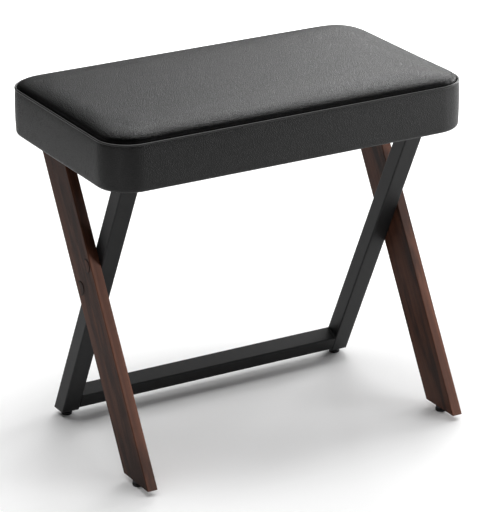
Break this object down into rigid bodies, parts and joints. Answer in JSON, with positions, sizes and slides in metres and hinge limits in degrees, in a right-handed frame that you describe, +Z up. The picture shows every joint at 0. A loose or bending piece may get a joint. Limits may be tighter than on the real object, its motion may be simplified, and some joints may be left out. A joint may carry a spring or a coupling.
{
  "type": "piano bench",
  "caption": "Piano bench with a black leather cushion seat on two crossed ends of walnut board and black steel tube, tied by a low tube, on screw-adjusted levelling feet.",
  "frame": {"origin": "on the floor, at the centre of the bench's box", "axes": "+Z up, +X along the seat, +Y towards the back, where the steel tubes stand"},
  "size_m": [0.5422, 0.3514, 0.492],
  "materials": {
    "plywood": "sanded birch plywood, unfinished",
    "foam": "upholstery foam",
    "seat_leather": "black pebbled leather, satin",
    "welt_leather": "black smooth leather piping, satin",
    "dust_cloth": "black non-woven cloth",
    "walnut": "dark walnut, matt lacquer",
    "walnut_cap": "dark walnut, matt lacquer",
    "black_steel": "black powder coat, fine texture",
    "black_plastic": "moulded black nylon",
    "black_fastener": "black oxide",
    "zinc_steel": "bright zinc plating",
    "brass_insert": "turned brass",
    "foot_steel": "black zinc plating",
    "rubber_sole": "black rubber"
  },
  "bodies": {
    "frame": {"seat_board": "plywood", "seat_foam": "foam", "cover_top_panel": "seat_leather", "cover_side_band": "seat_leather", "welt": "welt_leather", "dust_cover": "dust_cloth", "tee_nuts": "zinc_steel", "staples": "zinc_steel", "left_board_leg": "walnut", "right_board_leg": "walnut", "left_bolt_covers": "walnut_cap", "right_bolt_covers": "walnut_cap", "left_tube_leg": "black_steel", "right_tube_leg": "black_steel", "stretcher": "black_steel", "left_seat_rail": "black_steel", "right_seat_rail": "black_steel", "weld_beads": "black_steel", "left_tube_cap": "black_plastic", "right_tube_cap": "black_plastic", "seat_bolts": "black_fastener", "seat_washers": "zinc_steel", "ear_bolts": "black_fastener", "ear_washers": "zinc_steel", "crossing_bolts": "black_fastener", "crossing_washers": "zinc_steel", "rivet_nuts": "zinc_steel", "board_inserts": "brass_insert", "foot_inserts": "brass_insert"},
    "left_board_foot": {"left_board_foot_pad": "black_plastic", "left_board_foot_sole": "rubber_sole"},
    "left_board_stud": {"left_board_foot_stud": "foot_steel"},
    "left_tube_foot": {"left_tube_foot_pad": "black_plastic", "left_tube_foot_sole": "rubber_sole"},
    "left_tube_stud": {"left_tube_foot_stud": "foot_steel"},
    "right_board_foot": {"right_board_foot_pad": "black_plastic", "right_board_foot_sole": "rubber_sole"},
    "right_board_stud": {"right_board_foot_stud": "foot_steel"},
    "right_tube_foot": {"right_tube_foot_pad": "black_plastic", "right_tube_foot_sole": "rubber_sole"},
    "right_tube_stud": {"right_tube_foot_stud": "foot_steel"}
  },
  "joints": [
    {"name": "left_board_foot_height", "type": "slide", "parent": "frame", "child": "left_board_foot", "axis": [0, 0, -1], "range_m": [0, 0.008]},
    {"name": "left_board_stud_turn", "type": "hinge", "parent": "left_board_foot", "child": "left_board_stud", "pos_m": [-0.237, -0.1339, 0.0065], "axis": [0, 0, -1], "range_deg": [0, 2880]},
    {"name": "left_tube_foot_height", "type": "slide", "parent": "frame", "child": "left_tube_foot", "axis": [0, 0, -1], "range_m": [0, 0.008]},
    {"name": "left_tube_stud_turn", "type": "hinge", "parent": "left_tube_foot", "child": "left_tube_stud", "pos_m": [-0.2166, 0.119, 0.0065], "axis": [0, 0, -1], "range_deg": [0, 2880]},
    {"name": "right_board_foot_height", "type": "slide", "parent": "frame", "child": "right_board_foot", "axis": [0, 0, -1], "range_m": [0, 0.008]},
    {"name": "right_board_stud_turn", "type": "hinge", "parent": "right_board_foot", "child": "right_board_stud", "pos_m": [0.237, -0.1339, 0.0065], "axis": [0, 0, -1], "range_deg": [0, 2880]},
    {"name": "right_tube_foot_height", "type": "slide", "parent": "frame", "child": "right_tube_foot", "axis": [0, 0, -1], "range_m": [0, 0.008]},
    {"name": "right_tube_stud_turn", "type": "hinge", "parent": "right_tube_foot", "child": "right_tube_stud", "pos_m": [0.2166, 0.119, 0.0065], "axis": [0, 0, -1], "range_deg": [0, 2880]}
  ],
  "couplings": [
    {"joint": "left_board_stud_turn", "follows": "left_board_foot_height", "rad_per_m": 6283.2},
    {"joint": "left_tube_stud_turn", "follows": "left_tube_foot_height", "rad_per_m": 6283.2},
    {"joint": "right_board_stud_turn", "follows": "right_board_foot_height", "rad_per_m": 6283.2},
    {"joint": "right_tube_stud_turn", "follows": "right_tube_foot_height", "rad_per_m": 6283.2}
  ]
}
